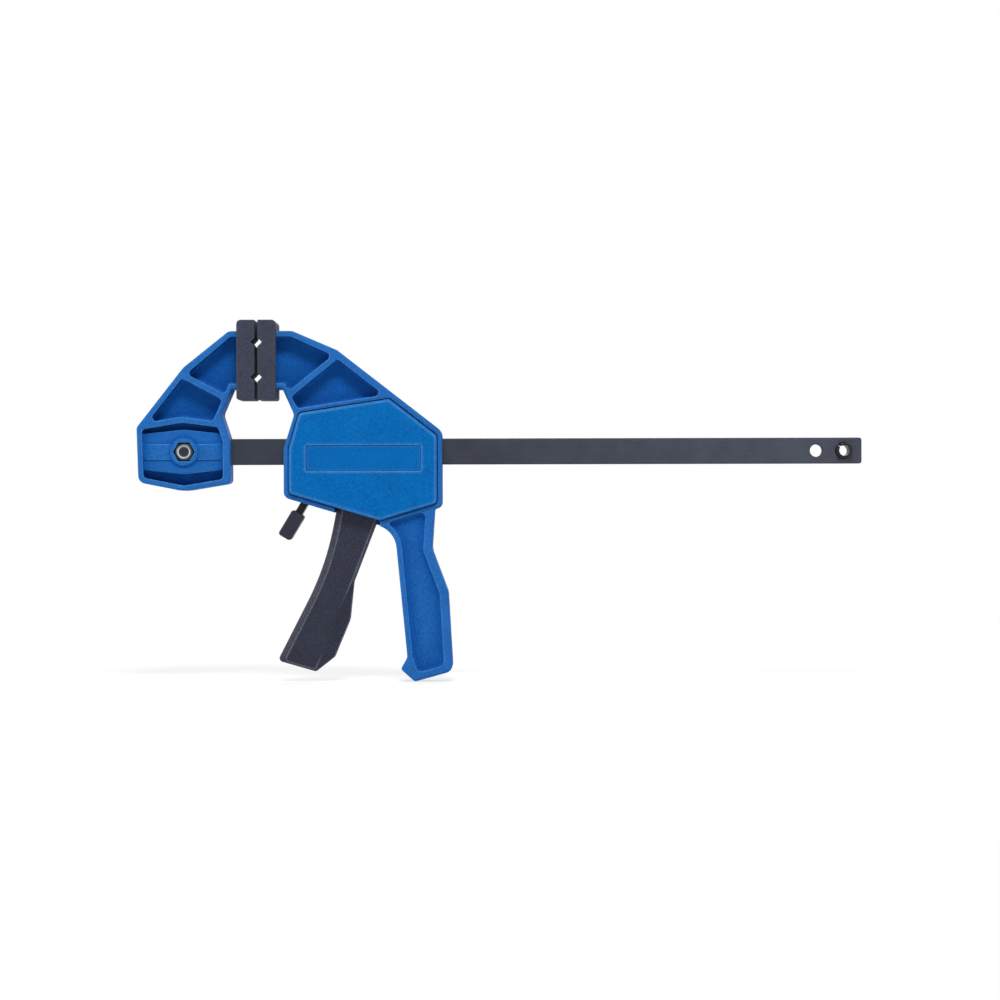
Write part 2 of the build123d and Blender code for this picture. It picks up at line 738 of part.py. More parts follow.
def trigger_slot():
    """The opening under the body that the trigger swings in, with a slot in the grip's root."""
    exit_x = trigger_point(trigger_exit_shares)[0] - trigger_slot_gap
    top = front_bottom[1]
    mouth = block(exit_x, keel[0], -jaw_half - overrun, jaw_half + overrun, 2 * keel[1] - bar_z, top)
    panel = block(exit_x, keel[0], -panel_half - overrun, cover_seat - jaw_half, bar_z - handle_drop, top)
    rear = squeezed(trigger_point(trigger_rear_shares))
    knuckle = squeezed(trigger_point(trigger_knuckle_shares))
    corners = [
        (exit_x, top), (rear[0] + trigger_slot_gap, top), (rear[0] + trigger_slot_gap, rear[1]),
        (knuckle[0] + trigger_slot_gap, knuckle[1]), (exit_x, knuckle[1]),
    ]
    return (mouth - panel) + slab(profile(corners, 0), -slot_half, slot_half)


def carriage_cover():
    solid = slab(profile(cover_corners, cover_round), cover_seat, panel_half)
    solid = fillet(front_edges(solid), cover_edge_round)
    hollow = slab(profile(chamber_corners, cover_round), cover_seat - overrun, chamber_half)
    solid -= hollow
    label_x, label_z = carriage_point(label_shares)
    label = Plane.XZ * Pos(label_x, label_z) * RectangleRounded(label_length, label_height, label_round)
    solid -= slab(label, panel_half - label_depth, panel_half + overrun)
    room = profile(inset(chamber_corners, [screw_clearance] * len(chamber_corners)), cover_round)
    for x, z in screw_places:
        solid += rod(x, z, screw_boss_diameter / 2, 0, chamber_half) & slab(room, 0, chamber_half)
        solid -= rod(x, z, screw_diameter / 2 + stop_pin_fit, 0, screw_grip + screw_clearance)
    solid += rod(pivot_x, pivot_z, hub_radius - trigger_side_gap, slot_half, chamber_half)
    return solid - rod(pivot_x, pivot_z, pivot_diameter / 2 + stop_pin_fit, 0, panel_half - pivot_end_wall)


def cover_screw(x, z):
    head_back = screw_floor - screw_head_height
    solid = rod(x, z, screw_diameter / 2, screw_floor, screw_grip)
    head = rod(x, z, screw_head_diameter / 2, head_back, screw_floor)
    solid += fillet(back_edges(head), screw_head_height / 3)
    back, front = head_back - overrun, head_back + screw_slot_depth
    long, short = screw_head_diameter / 4, screw_slot_width / 2
    for wide, tall in ((long, short), (short, long)):
        solid -= block(x - wide, x + wide, back, front, z - tall, z + tall)
    return solid


def trigger_pin():
    end = panel_half - pivot_end_wall - trigger_side_gap
    return chamfer(rod(pivot_x, pivot_z, pivot_diameter / 2, -end, end).edges(), pivot_diameter / 12)


def trigger():
    """A forked trigger: its hub turns on the pin and its round nose pushes the drive plates."""
    front = [trigger_toe_shares, trigger_bend_shares, trigger_exit_shares, trigger_front_neck_shares]
    rear = [
        trigger_rear_neck_shares, trigger_rear_top_shares, trigger_rear_shares,
        trigger_knuckle_shares, trigger_palm_shares, trigger_rear_heel_shares, trigger_heel_shares,
    ]
    outline = [(pivot_x - hub_radius, pivot_z), (pivot_x + hub_radius, pivot_z)]
    outline += [trigger_point(shares) for shares in rear + front]
    toe_round, heel_round, palm_round, knuckle_round = (
        share * trigger_kick for share in trigger_round_shares
    )
    rounds = [
        hub_radius / 4, hub_radius / 4, hub_radius / 3, toe_round, toe_round, knuckle_round,
        palm_round, heel_round, heel_round, toe_round, trigger_sweep_round, toe_round, hub_radius / 3,
    ]
    back, side, finger = trigger_rear_bevel, trigger_foot_bevel, trigger_bevel
    bevels = [0, 0, 0, back, back, back, back, side, side, finger, finger, finger, finger]
    cheek = trigger_half - trigger_bevel_depth
    face = profile(outline, rounds)
    solid = slab(face, -cheek, cheek)
    corners = inset(outline, bevels)
    palm = 2 + rear.index(trigger_palm_shares)
    corners[palm:palm + 2] = [trigger_point(shares) for shares in trigger_facet_shares]
    narrow = profile(corners, rounds)
    flank = loft([Pos(0, -cheek, 0) * face, Pos(0, -trigger_half, 0) * narrow], ruled=True)
    solid = solid + flank + mirror(flank, about=Plane.XZ)
    solid += rod(pivot_x, pivot_z, hub_radius, -trigger_half, trigger_half)
    solid += rod(pivot_x, pivot_z - nose_drop, nose_radius, -trigger_half, trigger_half)
    fork = bar_thickness / 2 + fork_gap
    floor = bar_z - bar_height / 2 - fork_floor_gap
    solid -= block(
        pivot_x - trigger_kick, pivot_x + trigger_kick, -fork, fork, floor, pivot_z + hub_radius + overrun
    )
    return solid - rod(pivot_x, pivot_z, pivot_diameter / 2 + pivot_clearance, -trigger_width, trigger_width)


def drive_plate(index):
    """A jam plate with a window for the bar."""
    left = plate_x + index * plate_thickness
    tall = bar_height / 2 + plate_rise
    solid = Pos(left, 0, bar_z) * Rot(0, 90, 0) * extrude(
        RectangleRounded(2 * tall, plate_width, plate_round), amount=plate_thickness
    )
    deep, high = bar_thickness / 2 + window_gap, bar_height / 2 + window_gap
    right = left + plate_thickness
    return solid - block(left - overrun, right + overrun, -deep, deep, bar_z - high, bar_z + high)


def drive_spring():
    start = plate_x + 2 * plate_thickness + spring_seat_gap
    end = drive_seat_x - spring_seat_gap
    return coil(start, end, bar_z, drive_spring_radius, drive_wire, drive_spring_pitch)


def brake_spring():
    radius = (brake_spring_diameter - brake_wire) / 2
    end = brake_seat_x() - spring_seat_gap
    return coil(brake_spring_start(), end, brake_spring_z(), radius, brake_wire, brake_spring_pitch)


def band(points, thickness):
    """Corners of a strip of even thickness along a bent middle line."""
    half = thickness / 2
    there, back = [], []
    for i, (x, z) in enumerate(points):
        before, after = points[max(i - 1, 0)], points[min(i + 1, len(points) - 1)]
        headings = [
            math.atan2(q[1] - p[1], q[0] - p[0]) for p, q in ((before, (x, z)), ((x, z), after)) if p != q
        ]
        middle = sum(headings) / len(headings)
        reach = half / math.cos(middle - headings[0])
        there.append((x - reach * math.sin(middle), z + reach * math.cos(middle)))
        back.append((x + reach * math.sin(middle), z - reach * math.cos(middle)))
    return there + back[::-1]


def brake_lever():
    """A steel lever that hangs from its round top end, with a window for the bar and a bent tail."""
    path = brake_path()
    solid = slab(profile(band(path[:2], brake_thickness), 0), -brake_width / 2, brake_width / 2)
    solid += slab(profile(band(path, brake_thickness), 0), -brake_tail_width / 2, brake_tail_width / 2)
    solid += rod(*path[0], brake_thickness / 2, -brake_width / 2, brake_width / 2)
    window = Box(4 * brake_thickness, bar_thickness + 2 * window_gap, bar_height + 2 * brake_window_gap)
    return solid - Pos(brake_x, 0, bar_z) * Rot(0, brake_tilt, 0) * window


def release_grip():
    """The moulded cap on the brake lever's tail."""
    pivot, bend, tail = brake_path()
    lean = math.radians(brake_tail_angle)
    along = (-math.sin(lean), -math.cos(lean))
    end = (tail[0] + along[0] * grip_end_wall, tail[1] + along[1] * grip_end_wall)
    start = (end[0] - along[0] * grip_length, end[1] - along[1] * grip_length)
    solid = slab(profile(band([start, end], grip_thickness), grip_round), -grip_width / 2, grip_width / 2)
    solid = fillet(front_edges(solid) + back_edges(solid), grip_round / 2)
    socket = band([bend, tail], brake_thickness + 2 * grip_fit)
    half = brake_tail_width / 2 + grip_fit
    return solid - slab(profile(socket, 0), -half, half)


def save(name, solid):
    export_step(solid, os.path.join("parts", name + ".step"))


os.makedirs("parts", exist_ok=True)
save("bar", bar())
save("fixed_jaw", fixed_jaw())
save("fixed_pad", pad())
save("jaw_bolt", jaw_bolt())
save("bolt_washer", bolt_washer())
save("jaw_nut", jaw_nut())
save("nut_insert", nut_insert())
save("stop_pin", stop_pin())
save("carriage_housing", carriage_housing())
save("carriage_cover", carriage_cover())
save("cover_screws", Compound(children=[cover_screw(x, z) for x, z in screw_places]))
save("moving_pad", Pos(rest_gap, 0, 0) * mirror(pad(), about=Plane.YZ))
save("trigger_pin", trigger_pin())
save("trigger", trigger())
save("drive_plate_front", drive_plate(0))
save("drive_plate_rear", drive_plate(1))
save("drive_spring", drive_spring())
save("brake_lever", brake_lever())
save("release_grip", release_grip())
save("brake_spring", brake_spring())
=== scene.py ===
import math

import bpy
from bpy.props import FloatProperty, FloatVectorProperty, IntProperty, PointerProperty
from mathutils import Euler, Matrix, Vector


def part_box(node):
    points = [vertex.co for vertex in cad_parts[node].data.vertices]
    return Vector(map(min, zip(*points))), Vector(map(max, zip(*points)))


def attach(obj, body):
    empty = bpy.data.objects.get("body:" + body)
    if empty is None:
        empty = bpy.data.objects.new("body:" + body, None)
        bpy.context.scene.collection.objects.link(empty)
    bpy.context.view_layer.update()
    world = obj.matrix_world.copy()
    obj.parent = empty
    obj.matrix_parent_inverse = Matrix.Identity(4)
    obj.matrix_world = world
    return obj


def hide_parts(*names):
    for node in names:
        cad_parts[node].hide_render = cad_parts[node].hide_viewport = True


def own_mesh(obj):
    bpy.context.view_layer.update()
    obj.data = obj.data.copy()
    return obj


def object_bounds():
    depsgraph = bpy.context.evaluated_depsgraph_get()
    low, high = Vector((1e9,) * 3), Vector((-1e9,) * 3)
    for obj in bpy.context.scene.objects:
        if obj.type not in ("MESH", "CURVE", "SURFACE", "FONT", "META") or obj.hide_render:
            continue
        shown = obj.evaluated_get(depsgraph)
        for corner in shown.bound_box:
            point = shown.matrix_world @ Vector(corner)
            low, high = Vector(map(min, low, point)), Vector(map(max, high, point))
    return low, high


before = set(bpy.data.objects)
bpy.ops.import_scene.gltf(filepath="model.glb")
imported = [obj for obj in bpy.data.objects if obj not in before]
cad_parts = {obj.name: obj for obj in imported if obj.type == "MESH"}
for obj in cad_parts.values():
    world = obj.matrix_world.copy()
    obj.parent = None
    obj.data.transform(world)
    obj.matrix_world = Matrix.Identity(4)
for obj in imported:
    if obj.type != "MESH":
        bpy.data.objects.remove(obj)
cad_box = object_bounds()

bl_info = {
    "name": "Bar clamp",
    "version": (1, 0, 0),
    "blender": (4, 5, 0),
    "location": "View3D > Sidebar > Bar clamp",
    "description": "Dresses the packed bar clamp with its finishes, winds its springs and sets up its studio",
    "category": "Object",
}

MM = 0.001
WHITE = (1, 1, 1, 1)

# Mouldings
POLYMER_IOR = 1.53
FLOW = 16 * MM  # spacing of the soft clouds that the melt leaves
PARTING_STEP = 0.15 * MM  # height of the step where the halves of the mould met
SPOT_INSIDE = 4.0 * MM  # distance from the spot's axis up to which the broad painted highlight is left off
SPOT_OUTSIDE = 4.5 * MM  # distance at which the painted highlight is whole

# Rolled steel
FILM_CLOUD = 22 * MM  # spacing of the patches in the oxide film
FILM_EDGE = 1.4 * MM  # width of the thick film along the edges
FILM_HOLE = 6 * MM  # distance over which nearby walls make a surface count as a hole, which gets painted shade
FILM_SHADE = (0.72, 1.12)  # painted shade and light: brightness of the film towards the jaws and at the free end
ROLLING_STRETCH = 0.02  # scale of the pattern along the bar, which draws it out into lines
ROLLING_DEPTH = 0.03 * MM

# Plated and bare steel
METAL_EDGE = 0.8 * MM  # width of the painted highlight along the edges
METAL_DULL = 0.75  # brightness of the scratched patches
SHADE_REACH = 4 * MM  # distance over which nearby pieces cast painted shade on a surface
SCRATCH_DEPTH = 0.02 * MM
PLATING_GRAIN = 1.2 * MM
PLATE_GRAIN = 0.9 * MM
WIRE_GRAIN = 0.8 * MM

# Shading of the CAD nodes
MERGE = 0.002 * MM
SHARP = math.radians(32)
FACE_WEIGHT = 90

# Springs
DRIVE_TRAVEL = 6.0 * MM  # how far the plates press the drive spring
BRAKE_TRAVEL = 3.7 * MM  # how far the brake lever presses its spring
CLOSED_PITCH = 1.05  # pitch of a closed turn, in wire diameters
POINTS_PER_TURN = 32

# Floor
FLOOR_HALF = 6  # half of its side, in metres
FLOOR_DROP = 0.5 * MM  # how far it lies below the clamp


def linear(hex_colour):
    """Turns an sRGB hex colour into linear red, green and blue."""
    channels = (int(hex_colour[i:i + 2], 16) / 255 for i in (0, 2, 4))
    return tuple(c / 12.92 if c <= 0.04045 else ((c + 0.055) / 1.055) ** 2.4 for c in channels)


def add(tree, kind, inputs=None, **settings):
    """Adds a node, applies its settings, and sets or links the inputs given by name or number. A Map Range node
    has its value at 0, the range that it comes from at 1 and 2, and the range that it goes to at 3 and 4. A Mix
    node has its share at 0 and its two colours at 6 and 7. A Vector Math node has its scale at 3."""
    node = tree.nodes.new(kind)
    for name, value in settings.items():
        setattr(node, name, value)
    for key, value in (inputs or {}).items():
        if isinstance(value, bpy.types.NodeSocket):
            tree.links.new(value, node.inputs[key])
        else:
            node.inputs[key].default_value = value
    return node


class MouldingSettings(bpy.types.PropertyGroup):
    """Finishes of the plastic and rubber mouldings."""

    # Open faces get this colour; the pockets get the painted shade colour below.
    blue: FloatVectorProperty(
        name="Blue", description="Colour of the raised rims of the jaws and the carriage",
        default=linear("2262A8"), subtype="COLOR", min=0, max=1)
    # Painted shade: darker blue for the pockets, mixed in by ambient occlusion.
    blue_shaded: FloatVectorProperty(
        name="Deep blue", description="Deeper blue in the pockets of the jaws and the carriage",
        default=linear("0E529E"), subtype="COLOR", min=0, max=1)
    # Partly wear, partly painted highlight: paler blue along the edges.
    blue_wear_and_highlight: FloatVectorProperty(
        name="Blue edge", description="Paler blue where the mouldings' edges have been rubbed",
        default=linear("5C97D4"), subtype="COLOR", min=0, max=1)
    cover: FloatVectorProperty(
        name="Cover blue", description="Brighter blue of the carriage's cover",
        default=linear("005EA4"), subtype="COLOR", min=0, max=1)
    # Painted shade: darker cover blue for the cover's corners.
    cover_shaded: FloatVectorProperty(
        name="Deep cover blue", description="Deeper blue in the corners of the cover",
        default=linear("005094"), subtype="COLOR", min=0, max=1)
    black: FloatVectorProperty(
        name="Black", description="Colour of the trigger",
        default=linear("2A2D3A"), subtype="COLOR", min=0, max=1)
    # Painted shade: darker tone for the trigger's corners.
    black_shaded: FloatVectorProperty(
        name="Deep black", description="Darker tone in the trigger's corners",
        default=linear("20232C"), subtype="COLOR", min=0, max=1)
    # Partly wear, partly painted highlight: paler tone along the trigger's edges.
    black_wear_and_highlight: FloatVectorProperty(
        name="Black edge", description="Paler tone along the trigger's edges",
        default=linear("868A9C"), subtype="COLOR", min=0, max=1)
    release: FloatVectorProperty(
        name="Release", description="Colour of the release grip",
        default=linear("232733"), subtype="COLOR", min=0, max=1)
    natural: FloatVectorProperty(
        name="Natural nylon", description="Off-white of the ring in the lock nut",
        default=linear("D4D4D8"), subtype="COLOR", min=0, max=1)
    rubber: FloatVectorProperty(
        name="Rubber", description="Colour of the jaw pads",
        default=linear("353846"), subtype="COLOR", min=0, max=1)
    # Painted shade: darker tone for the pads' grooves.
    rubber_shaded: FloatVectorProperty(
        name="Deep rubber", description="Darker tone in the pads' grooves",
        default=linear("333643"), subtype="COLOR", min=0, max=1)
    # Partly wear, partly painted highlight: paler tone along the pads' edges.
    rubber_wear_and_highlight: FloatVectorProperty(
        name="Rubber edge", description="Paler tone along the pads' edges",
        default=linear("5A5D6C"), subtype="COLOR", min=0, max=1)
    grit: FloatProperty(
        name="Grit", description="Spacing of the spark-eroded grain on the mouldings",
        default=1.2 * MM, min=0.1 * MM, unit="LENGTH")
    grit_height: FloatProperty(
        name="Grit height", description="Height of that grain",
        default=0.12 * MM, min=0, unit="LENGTH")
    edge: FloatProperty(
        name="Edge", description="Width of the rubbed line along the mouldings' edges",
        default=1.5 * MM, min=0, unit="LENGTH")
    broad_edge: FloatProperty(
        name="Broad edge",
        description="Width of the rubbed line along the trigger's bevels and round the cover",
        default=2.0 * MM, min=0, unit="LENGTH")
    # Painted highlight: the soft pale band along the cover's rounded edge.
    halo: FloatProperty(
        name="Halo", description="Width of the soft pale band along the rounded edge of the cover",
        default=4.2 * MM, min=0, unit="LENGTH")
    # Reach of the painted shade in the pockets.
    hollow: FloatProperty(
        name="Hollow", description="Distance over which nearby walls make a surface count as a pocket",
        default=40.0 * MM, min=0, unit="LENGTH")
    parting: FloatProperty(
        name="Parting line", description="Width of the line where the two halves of the mould met",
        default=0.5 * MM, min=0, unit="LENGTH")


class MetalSettings(bpy.types.PropertyGroup):
    """Finishes of the steel pieces."""

    blackened: FloatVectorProperty(
        name="Blackened steel", description="Colour of the bar",
        default=linear("343843"), subtype="COLOR", min=0, max=1)
    blackened_worn: FloatVectorProperty(
        name="Worn steel", description="Paler tone where the carriage rubs the bar",
        default=linear("3E4350"), subtype="COLOR", min=0, max=1)
    # On the bar this colour is also the painted shade in its holes.
    oxide: FloatVectorProperty(
        name="Oxide", description="Near-black colour of the stop pin, the brake lever and the bar's thick film",
        default=linear("0C0D11"), subtype="COLOR", min=0, max=1)
    zinc: FloatVectorProperty(
        name="Zinc", description="Colour of the plated fasteners",
        default=linear("6E7178"), subtype="COLOR", min=0, max=1)
    # A darker copy of the zinc, given to the fixed jaw's bolt.
    zinc_dark: FloatVectorProperty(
        name="Dull zinc", description="Colour of the fixed jaw's bolt, whose plating has gone dull",
        default=linear("3C3F47"), subtype="COLOR", min=0, max=1)
    # Painted highlight: bright plating colour along the edges.
    zinc_highlight: FloatVectorProperty(
        name="Zinc edge", description="Bright plating along the fasteners' edges",
        default=linear("E2E4E8"), subtype="COLOR", min=0, max=1)
    spring_steel: FloatVectorProperty(
        name="Spring steel", description="Colour of the springs, plates and pivot pin",
        default=linear("8E9094"), subtype="COLOR", min=0, max=1)
    rolling: FloatProperty(
        name="Rolling marks", description="Spacing of the fine lines along the rolled bar",
        default=0.9 * MM, min=0.1 * MM, unit="LENGTH")
    # Painted shade and light: between these two places the film goes from darker towards the jaws to paler
    # towards the free end.
    light_ramp_from: FloatProperty(
        name="Handled from", description="Place along the bar where its film starts to get paler",
        default=170 * MM, unit="LENGTH")
    light_ramp_to: FloatProperty(
        name="Handled to", description="Place along the bar where its film is palest",
        default=390 * MM, unit="LENGTH")


class SpringSettings(bpy.types.PropertyGroup):
    """Sizes of the wound springs that aren't read from the frame."""

    drive_wire: FloatProperty(
        name="Drive spring wire", description="Wire diameter of the spring behind the drive plates",
        default=1.8 * MM, min=0.5 * MM, unit="LENGTH")
    drive_turns: FloatProperty(
        name="Drive spring turns", description="Turns of that spring with its closed ends",
        default=6.5, min=3, max=20)
    brake_wire: FloatProperty(
        name="Brake spring wire", description="Wire diameter of the spring behind the brake lever",
        default=1.0 * MM, min=0.5 * MM, unit="LENGTH")
    brake_turns: FloatProperty(
        name="Brake spring turns", description="Turns of that spring with its closed ends",
        default=4.5, min=3, max=20)
    sides: IntProperty(
        name="Wire sides", description="Sides of the wire's round section", default=12, min=6, max=32)


class StageSettings(bpy.types.PropertyGroup):
    """Camera, lamps and floor."""

    eye: FloatVectorProperty(
        name="Eye", description="Place of the camera, straight in front of the clamp's side",
        default=(186.6 * MM, -2003 * MM, -107.3 * MM), subtype="TRANSLATION", unit="LENGTH")
    lens: FloatProperty(name="Lens", description="Focal length in millimetres", default=93.9, min=20)
    roll: FloatProperty(
        name="Roll", description="Turn of the camera about its line of sight",
        default=math.radians(-0.14), subtype="ANGLE")
    top: FloatProperty(
        name="Top lamp", description="Power of the soft lamp overhead", default=20, min=0, unit="POWER")
    side: FloatProperty(
        name="Side lamp", description="Power of the soft lamp at the left", default=22, min=0, unit="POWER")
    fill: FloatProperty(
        name="Fill lamp", description="Power of the soft lamp at the right", default=5, min=0, unit="POWER")
    back: FloatProperty(
        name="Back lamp", description="Power of the soft lamp behind", default=20, min=0, unit="POWER")
    ambient: FloatProperty(
        name="Ambient", description="Strength of the even light from all round", default=0.22, min=0)
    floor: FloatVectorProperty(
        name="Floor", description="Colour of the floor",
        default=linear("F4F4F5"), subtype="COLOR", min=0, max=1)
    floor_white: FloatProperty(
        name="Floor white", description="Share of plain white in the floor that the camera sees at the clamp",
        default=0.7, min=0, max=1, subtype="FACTOR")
    floor_near: FloatProperty(
        name="Floor near", description="Distance from the clamp's middle where the floor starts to fade",
        default=0.45, min=0, unit="LENGTH")
    floor_far: FloatProperty(
        name="Floor far", description="Distance from the clamp's middle where the floor is plain white",
        default=1.3, min=0, unit="LENGTH")


class ClampSettings(bpy.types.PropertyGroup):
    """All the settings of the clamp."""

    moulding: PointerProperty(type=MouldingSettings)
    metal: PointerProperty(type=MetalSettings)
    spring: PointerProperty(type=SpringSettings)
    stage: PointerProperty(type=StageSettings)


def blank_material(name):
    """Starts a material with an empty node tree."""
    material = bpy.data.materials.new(name)
    material.use_nodes = True
    material.node_tree.nodes.clear()
    return material, material.node_tree


def find_edges(tree, width, start=0.995, full=0.93):
    """Finds a piece's edges: a normal that is rounded over them, and a share that rises to 1 along them. Start
    and full are the cosines of the turn of that normal where the share is 0 and 1."""
    rounded = add(tree, "ShaderNodeBevel", {"Radius": width}, samples=8).outputs[0]
    surface = add(tree, "ShaderNodeNewGeometry").outputs["Normal"]
    same = add(
        tree, "ShaderNodeVectorMath", {0: rounded, 1: surface}, operation="DOT_PRODUCT").outputs["Value"]
    share = add(tree, "ShaderNodeMapRange", {0: same, 1: start, 2: full}).outputs[0]
    return rounded, share


def moulded(
    name, colours, settings, roughness, level, edge_width, speck=(0.78, 1.17), edge_wear_and_highlight=(0.2, 0.6), spot=None,
):
    """A moulding with spark-eroded grain. It scatters light softly and evenly, with a faint broad sheen. Painted
    shade makes its pockets darker than its open faces, and its edges are paler still, partly wear and partly
    painted highlight. The real grain is near 0.3 mm and is drawn coarser, because it would be lost in the
    render.
    The colours are the open faces, the painted shade in the pockets and the edges, level is the strength of the
    sheen, speck is the least and greatest brightness of the grain, and edge_wear_and_highlight is the least and
    greatest share of the edges' colour. With a spot there is also a broad painted highlight along the rounded
    edges, which stays off that spot, where a socket is close behind the face."""
    # deep is the painted shade colour for the pockets; edge is the colour of the edges' wear and painted
    # highlight.
    colour, deep, edge = colours
    material, tree = blank_material(name)
    place = add(tree, "ShaderNodeTexCoord").outputs["Object"]
    grain = add(tree, "ShaderNodeTexNoise", {
        "Vector": place, "Scale": 1 / settings.grit, "Detail": 3.0, "Roughness": 0.6,
    }).outputs[0]
    flow = add(tree, "ShaderNodeTexNoise", {
        "Vector": place, "Scale": 1 / FLOW, "Detail": 3.0, "Roughness": 0.5,
    }).outputs[0]
    tone = add(tree, "ShaderNodeMath", {0: flow, 1: 0.25, 2: grain}, operation="MULTIPLY_ADD").outputs[0]
    dots = add(tree, "ShaderNodeMapRange", {0: tone, 1: 0.45, 2: 0.8, 3: speck[0], 4: speck[1]}).outputs[0]
    # Painted shade: ambient occlusion mixes the open colour towards the darker pocket colour.
    open_share = add(tree, "ShaderNodeAmbientOcclusion", {
        "Distance": settings.hollow,
    }, samples=12, only_local=True).outputs["AO"]
    raised = add(tree, "ShaderNodeMapRange", {0: open_share, 1: 0.9, 2: 1.0}).outputs[0]
    faces = add(tree, "ShaderNodeMix", {
        0: raised, 6: (*deep, 1), 7: (*colour, 1),
    }, data_type="RGBA").outputs[2]
    grained = add(tree, "ShaderNodeVectorMath", {0: faces, 3: dots}, operation="SCALE").outputs[0]
    # Edges: a paler colour on open faces, partly wear and partly painted highlight.
    rounded, near_edge = find_edges(tree, edge_width)
    if spot is not None:
        # Painted highlight: a broad pale band along the rounded edges, held off the spot.
        broad = find_edges(tree, settings.halo, start=0.99, full=0.92)[1]
        offset = add(tree, "ShaderNodeVectorMath", {0: place, 1: spot}, operation="SUBTRACT").outputs[0]
        in_plane = add(tree, "ShaderNodeVectorMath", {0: offset, 1: (1, 0, 1)}, operation="MULTIPLY").outputs[0]
        away = add(tree, "ShaderNodeVectorMath", {0: in_plane}, operation="LENGTH").outputs["Value"]
        clear = add(tree, "ShaderNodeMapRange", {0: away, 1: SPOT_INSIDE, 2: SPOT_OUTSIDE}).outputs[0]
        broad = add(tree, "ShaderNodeMath", {0: broad, 1: clear}, operation="MULTIPLY").outputs[0]
        near_edge = add(tree, "ShaderNodeMath", {0: near_edge, 1: broad}, operation="MAXIMUM").outputs[0]
    patchy = add(tree, "ShaderNodeMapRange", {0: grain, 1: 0.3, 2: 0.7, 3: edge_wear_and_highlight[0], 4: edge_wear_and_highlight[1]}).outputs[0]
    rubbed_and_highlit = add(tree, "ShaderNodeMath", {0: near_edge, 1: patchy}, operation="MULTIPLY").outputs[0]
    rubbed_and_highlit = add(tree, "ShaderNodeMath", {0: rubbed_and_highlit, 1: raised}, operation="MULTIPLY").outputs[0]
    mixed = add(tree, "ShaderNodeMix", {0: rubbed_and_highlit, 6: grained, 7: (*edge, 1)}, data_type="RGBA").outputs[2]
    rough = add(tree, "ShaderNodeMapRange", {
        0: tone, 1: 0.4, 2: 0.85, 3: roughness + 0.08, 4: roughness - 0.06,
    }).outputs[0]
    across = add(tree, "ShaderNodeSeparateXYZ", {0: place}).outputs[1]
    off_line = add(tree, "ShaderNodeMath", {0: across}, operation="ABSOLUTE").outputs[0]
    line = add(tree, "ShaderNodeMapRange", {
        0: off_line, 1: settings.parting / 2, 2: settings.parting, 3: 1.0, 4: 0.0,
    }).outputs[0]
    relief = add(tree, "ShaderNodeBump", {
        "Strength": 0.6, "Distance": settings.grit_height, "Height": grain, "Normal": rounded,
    }).outputs[0]
    relief = add(tree, "ShaderNodeBump", {
        "Strength": 0.4, "Distance": PARTING_STEP, "Height": line, "Normal": relief,
    }).outputs[0]
    shader = add(tree, "ShaderNodeBsdfPrincipled", {
        "Base Color": mixed, "Roughness": rough, "IOR": POLYMER_IOR, "Specular IOR Level": level,
        "Normal": relief,
    })
    add(tree, "ShaderNodeOutputMaterial", {0: shader.outputs[0]})
    return material


def rolled_steel(name, colours, settings):
    """Hot-rolled bar with a black oxide coat: a dull, dark blue-grey film with fine lines along the bar and a
    thicker, darker film round its edges; its holes get the same dark colour as painted shade. Painted shade and
    light make the film darker towards the jaws and paler towards the bar's free end. The colours are the film,
    the film where it has worn and the thick film."""
    colour, worn, edge = colours
    material, tree = blank_material(name)
    place = add(tree, "ShaderNodeTexCoord").outputs["Object"]
    drawn = add(tree, "ShaderNodeMapping", {0: place, 3: (ROLLING_STRETCH, 1.0, 1.0)}).outputs[0]
    lines = add(tree, "ShaderNodeTexNoise", {
        "Vector": drawn, "Scale": 1 / settings.rolling, "Detail": 3.0, "Roughness": 0.7,
    }).outputs[0]
    cloud = add(tree, "ShaderNodeTexNoise", {
        "Vector": place, "Scale": 1 / FILM_CLOUD, "Detail": 5.0, "Roughness": 0.6,
    }).outputs[0]
    tone = add(tree, "ShaderNodeMath", {0: lines, 1: 0.5, 2: cloud}, operation="MULTIPLY_ADD").outputs[0]
    share = add(tree, "ShaderNodeMapRange", {0: tone, 1: 0.55, 2: 1.0}).outputs[0]
    film = add(tree, "ShaderNodeMix", {0: share, 6: (*colour, 1), 7: (*worn, 1)}, data_type="RGBA").outputs[2]
    # Painted shade and light: darker towards the jaws, paler towards the free end.
    along = add(tree, "ShaderNodeSeparateXYZ", {0: place}).outputs[0]
    light_ramp = add(tree, "ShaderNodeMapRange", {
        0: along, 1: settings.light_ramp_from, 2: settings.light_ramp_to, 3: FILM_SHADE[0], 4: FILM_SHADE[1],
    }).outputs[0]
    film = add(tree, "ShaderNodeVectorMath", {0: film, 3: light_ramp}, operation="SCALE").outputs[0]
    rounded, near_edge = find_edges(tree, FILM_EDGE)
    # Painted shade in the holes: ambient occlusion from nearby walls mixes in the dark film colour.
    open_share = add(tree, "ShaderNodeAmbientOcclusion", {
        "Distance": FILM_HOLE,
    }, samples=12, only_local=True).outputs["AO"]
    hollow = add(tree, "ShaderNodeMapRange", {0: open_share, 1: 0.95, 2: 0.6}).outputs[0]
    thick = add(tree, "ShaderNodeMath", {0: near_edge, 1: hollow}, operation="MAXIMUM").outputs[0]
    mixed = add(tree, "ShaderNodeMix", {0: thick, 6: film, 7: (*edge, 1)}, data_type="RGBA").outputs[2]
    rough = add(tree, "ShaderNodeMapRange", {0: tone, 1: 0.5, 2: 1.05, 3: 0.52, 4: 0.4}).outputs[0]
    relief = add(tree, "ShaderNodeBump", {
        "Strength": 0.3, "Distance": ROLLING_DEPTH, "Height": lines, "Normal": rounded,
    }).outputs[0]
    shader = add(tree, "ShaderNodeBsdfPrincipled", {
        "Base Color": mixed, "Roughness": rough, "Specular IOR Level": 0.25, "Normal": relief,
    })
    add(tree, "ShaderNodeOutputMaterial", {0: shader.outputs[0]})
    return material


